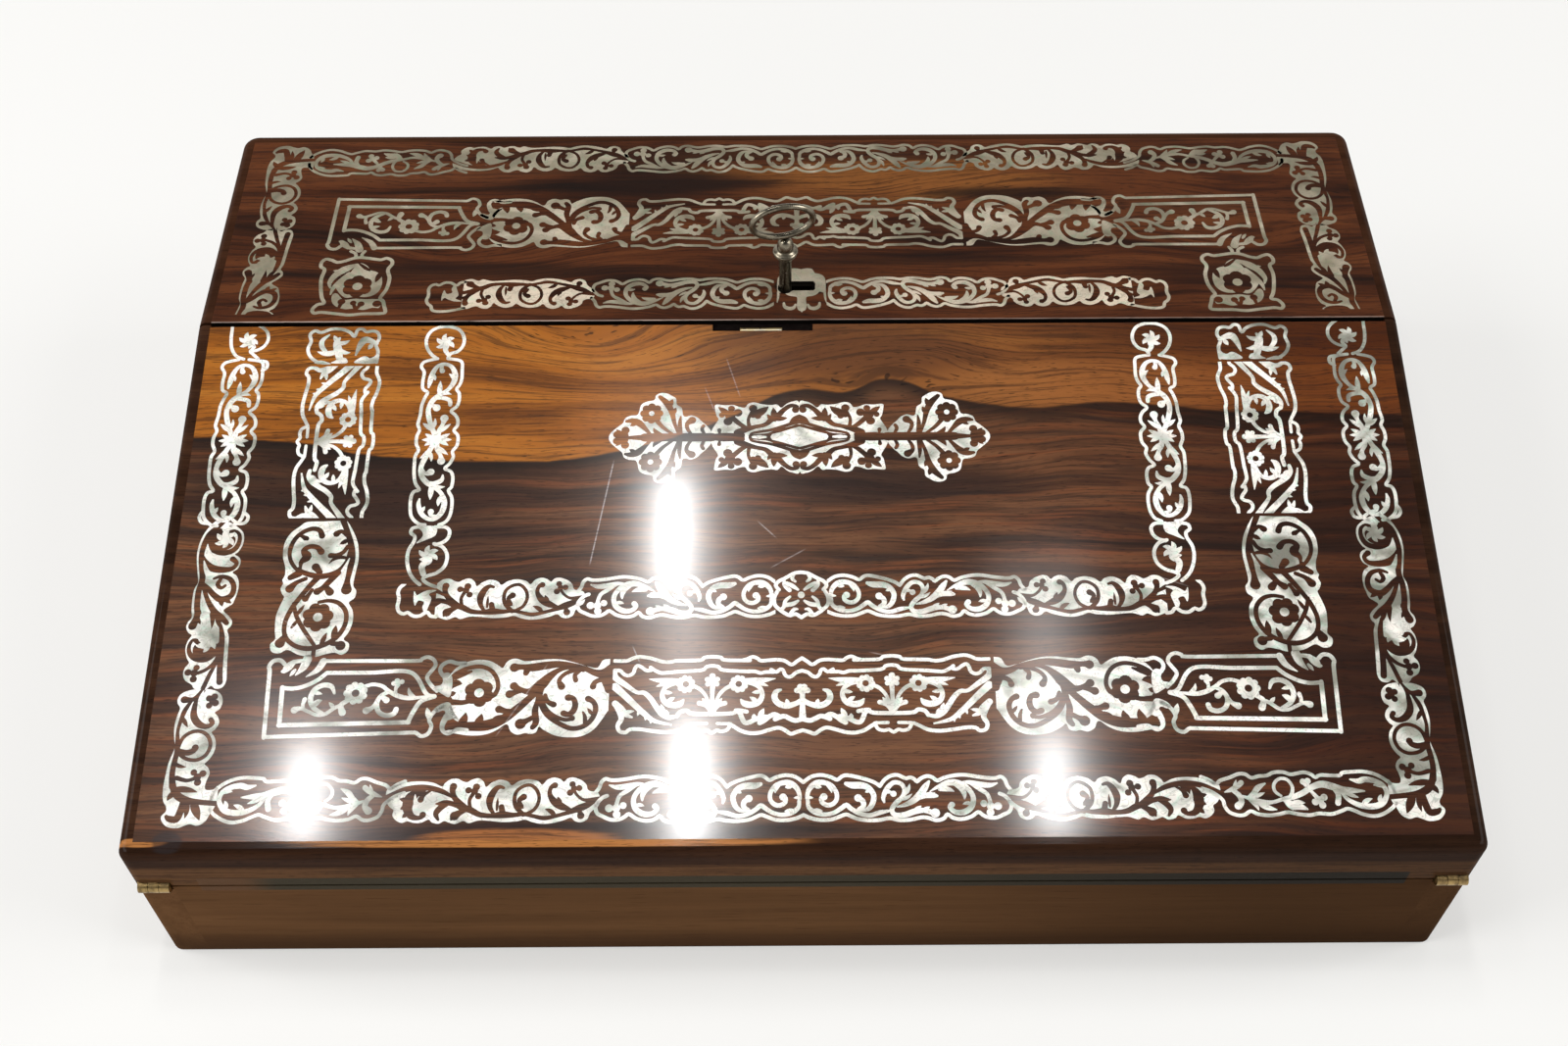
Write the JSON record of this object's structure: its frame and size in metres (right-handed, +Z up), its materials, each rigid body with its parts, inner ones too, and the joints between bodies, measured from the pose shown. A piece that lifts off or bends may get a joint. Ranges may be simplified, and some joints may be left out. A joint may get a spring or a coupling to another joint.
{
  "type": "writing slope",
  "caption": "Wedge-shaped rosewood writing slope with mother-of-pearl inlay, a sloping front flap, a flat back lid, lock and key, paper space, pen tray and ink bottles.",
  "frame": {"origin": "middle of the underside, on the surface that the slope stands on", "axes": "+Z up, +X to the writer's right, the flap's low edge faces -Y"},
  "size_m": [0.4, 0.276, 0.1394],
  "materials": {
    "rosewood": "French polish",
    "dark_edging": "French polish",
    "figured_veneer": "French polish",
    "inner_wood": "waxed",
    "mother_of_pearl": "polished shell",
    "green_lining": "short pile",
    "baize": "felt",
    "brass": "worn polish",
    "dark_steel": "dark patina",
    "clear_glass": "polished"
  },
  "bodies": {
    "case": {"right_wall": "rosewood", "left_wall": "rosewood", "front_wall": "rosewood", "front_rail_lining": "green_lining", "back_wall": "rosewood", "bottom_board": "inner_wood", "baize_underlay": "baize", "cross_divider": "inner_wood", "writing_board_ledges": "inner_wood", "pen_tray_ledges": "inner_wood", "well_dividers": "inner_wood", "well_partitions": "inner_wood", "bottle_plinths": "inner_wood", "writing_board": "inner_wood", "writing_board_lining": "green_lining", "slope_hinge_case_leaves": "brass", "slope_hinge_pins": "brass", "lid_hinge_case_leaves": "brass", "lid_hinge_pins": "brass", "case_hinge_screws": "brass", "left_ink_bottle": "clear_glass", "right_ink_bottle": "clear_glass", "left_ink_collar": "brass", "right_ink_collar": "brass"},
    "flap": {"flap_board": "rosewood", "flap_edging": "dark_edging", "flap_veneer": "figured_veneer", "flap_outer_inlay": "mother_of_pearl", "flap_middle_inlay": "mother_of_pearl", "flap_inner_inlay": "mother_of_pearl", "flap_cartouche": "mother_of_pearl", "flap_lining": "green_lining", "slope_hinge_flap_leaves": "brass", "flap_hinge_screws": "brass", "strike_plate": "brass", "strike_screws": "brass"},
    "lid": {"lid_board": "rosewood", "lid_edging": "dark_edging", "lid_veneer": "figured_veneer", "lid_outer_inlay": "mother_of_pearl", "lid_middle_inlay": "mother_of_pearl", "lid_inner_inlay": "mother_of_pearl", "key_escutcheon": "mother_of_pearl", "lid_lining": "green_lining", "lid_hinge_lid_leaves": "brass", "lid_hinge_screws": "brass", "lock_case": "dark_steel", "lock_plate": "brass", "lock_screws": "dark_steel", "drill_pin": "dark_steel"},
    "bolt": {"lock_bolt": "dark_steel"},
    "curtain": {"key_curtain": "dark_steel"},
    "key": {"key": "dark_steel"},
    "tray": {"pen_tray": "inner_wood"},
    "left_cap": {"left_ink_cap": "brass"},
    "right_cap": {"right_ink_cap": "brass"}
  },
  "joints": [
    {"name": "flap_hinge", "type": "hinge", "parent": "case", "child": "flap", "pos_m": [0, -0.136, 0.0458], "axis": [1, 0, 0], "range_deg": [0, 177.5]},
    {"name": "lid_hinge", "type": "hinge", "parent": "case", "child": "lid", "pos_m": [0, 0.136, 0.0804], "axis": [-1, 0, 0], "range_deg": [0, 100]},
    {"name": "key_turn", "type": "hinge", "parent": "lid", "child": "curtain", "pos_m": [-0.0042, 0.0575, 0.09], "axis": [0, 0, 1], "range_deg": [0, 360]},
    {"name": "key_lift", "type": "slide", "parent": "curtain", "child": "key", "axis": [0, 0, 1], "range_m": [0, 0.03]},
    {"name": "bolt_throw", "type": "slide", "parent": "lid", "child": "bolt", "axis": [0, -1, 0], "range_m": [0, 0.005]},
    {"name": "tray_lift", "type": "slide", "parent": "case", "child": "tray", "axis": [0, 0, 1], "range_m": [0, 0.018]},
    {"name": "left_cap_hinge", "type": "hinge", "parent": "case", "child": "left_cap", "pos_m": [-0.166, 0.0803, 0.05195], "axis": [-1, 0, 0], "range_deg": [0, 100]},
    {"name": "right_cap_hinge", "type": "hinge", "parent": "case", "child": "right_cap", "pos_m": [0.166, 0.0803, 0.05195], "axis": [-1, 0, 0], "range_deg": [0, 100]}
  ],
  "couplings": [
    {"joint": "bolt_throw", "follows": "key_turn", "m_per_rad": 0.000795}
  ]
}
